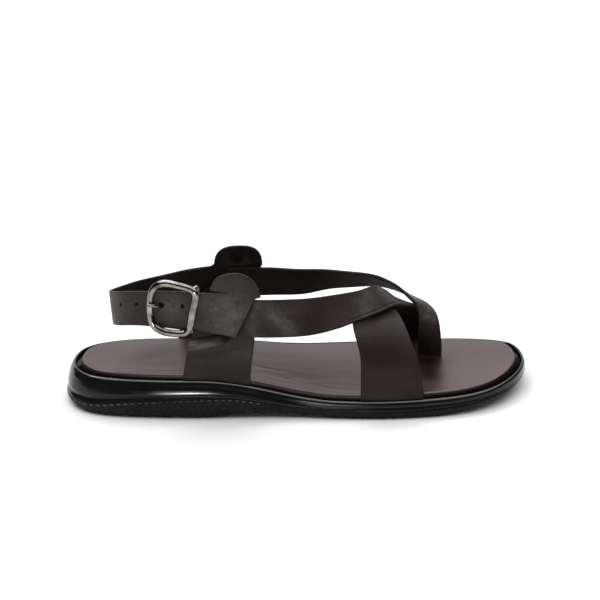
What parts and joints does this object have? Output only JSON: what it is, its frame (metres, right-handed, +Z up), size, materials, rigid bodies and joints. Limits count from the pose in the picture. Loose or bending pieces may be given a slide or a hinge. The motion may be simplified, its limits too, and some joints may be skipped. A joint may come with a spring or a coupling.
{
  "type": "strappy leather sandal",
  "caption": "Right flat sandal with crossed leather straps, a toe loop strap, a buckled heel strap and a moulded sole with a padded footbed.",
  "frame": {"origin": "on the floor, under the middle of the sandal's box", "axes": "+X from heel to toe along the sole, +Y to the medial side, the one of the big toe, +Z up from the floor"},
  "size_m": [0.2852, 0.101, 0.0886],
  "materials": {
    "tread": "satin grained",
    "sole_unit": "glossy",
    "footbed": "soft satin",
    "strap_leather": "satin",
    "buckle": "polished nickel"
  },
  "bodies": {
    "root": {"outsole": "tread", "midsole": "sole_unit", "insole": "footbed", "upper": "strap_leather", "heel_strap": "strap_leather", "buckle_frame": "buckle", "buckle_prong": "buckle"}
  },
  "joints": []
}
